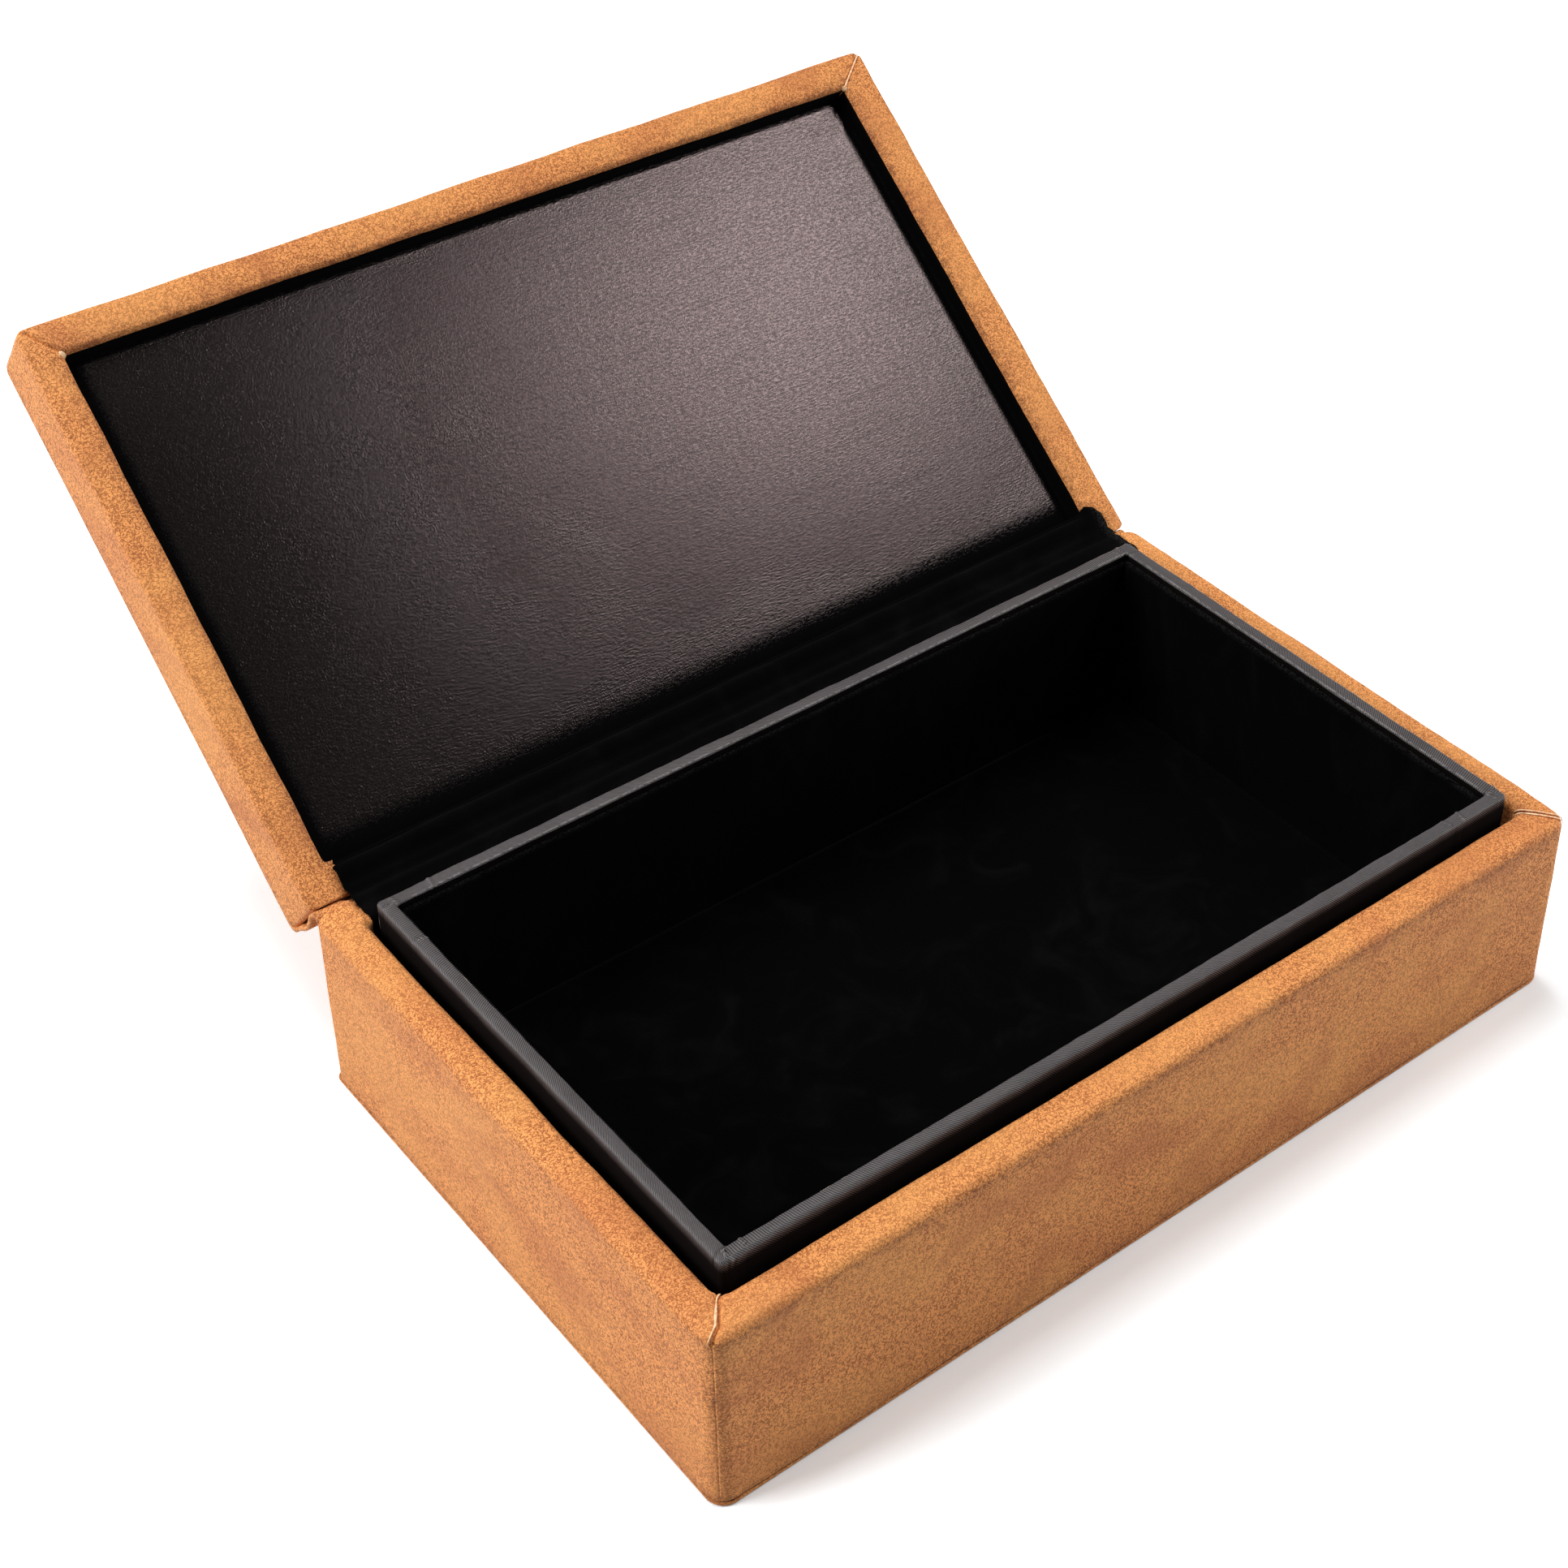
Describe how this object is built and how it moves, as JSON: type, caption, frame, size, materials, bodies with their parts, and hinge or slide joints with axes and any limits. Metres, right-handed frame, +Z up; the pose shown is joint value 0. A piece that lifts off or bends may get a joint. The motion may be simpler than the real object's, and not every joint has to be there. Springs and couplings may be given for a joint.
{
  "type": "faraday key box",
  "caption": "Leather-wrapped key box with a hinged padded lid, a velvet-lined inner tray and a conductive rim that shields radio keys.",
  "frame": {"origin": "centre of the base's flat bottom face", "axes": "+X along the hinge, from the left end to the right; +Y to the hinge at the back; +Z up"},
  "size_m": [0.19, 0.2175, 0.1111],
  "materials": {
    "leather": "matt suede-like grain",
    "board": "plain grey board",
    "conductive_twill": "fine twill",
    "shield_fabric": "metallised weave",
    "velvet": "deep black pile",
    "satin": "satin weave with a soft sheen",
    "foam": "open-cell foam sheet"
  },
  "bodies": {
    "base": {"base_back_cover": "leather", "base_bottom_board": "board", "base_bottom_cover": "leather", "base_front_board": "board", "base_front_wrap": "leather", "base_left_board": "board", "base_left_wrap": "leather", "base_rear_board": "board", "base_rear_wrap": "leather", "base_right_board": "board", "base_right_wrap": "leather", "hinge_spine": "leather", "liner_floor_board": "board", "liner_front_board": "board", "liner_left_board": "board", "liner_rear_board": "board", "liner_right_board": "board", "rim_tape_front": "conductive_twill", "rim_tape_left": "conductive_twill", "rim_tape_rear": "conductive_twill", "rim_tape_right": "conductive_twill", "shield_floor": "shield_fabric", "shield_front_wall": "shield_fabric", "shield_left_wall": "shield_fabric", "shield_rear_wall": "shield_fabric", "shield_right_wall": "shield_fabric", "velvet_floor_mat": "velvet", "velvet_front_wall": "velvet", "velvet_hinge_strip": "velvet", "velvet_left_wall": "velvet", "velvet_rear_wall": "velvet", "velvet_right_wall": "velvet"},
    "lid": {"lid_front_board": "board", "lid_front_wrap": "leather", "lid_left_board": "board", "lid_left_wrap": "leather", "lid_rear_board": "board", "lid_rear_wrap": "leather", "lid_right_board": "board", "lid_right_wrap": "leather", "lid_shield": "shield_fabric", "lid_top_board": "board", "lid_top_cover": "leather", "panel_board": "board", "panel_cover": "satin", "panel_foam": "foam"}
  },
  "joints": [
    {"name": "lid_hinge", "type": "hinge", "parent": "base", "child": "lid", "pos_m": [0, 0.05836, 0.03827], "axis": [-1, 0, 0], "range_deg": [-140.6, 0], "deforming": ["hinge_spine", "velvet_hinge_strip"]}
  ]
}
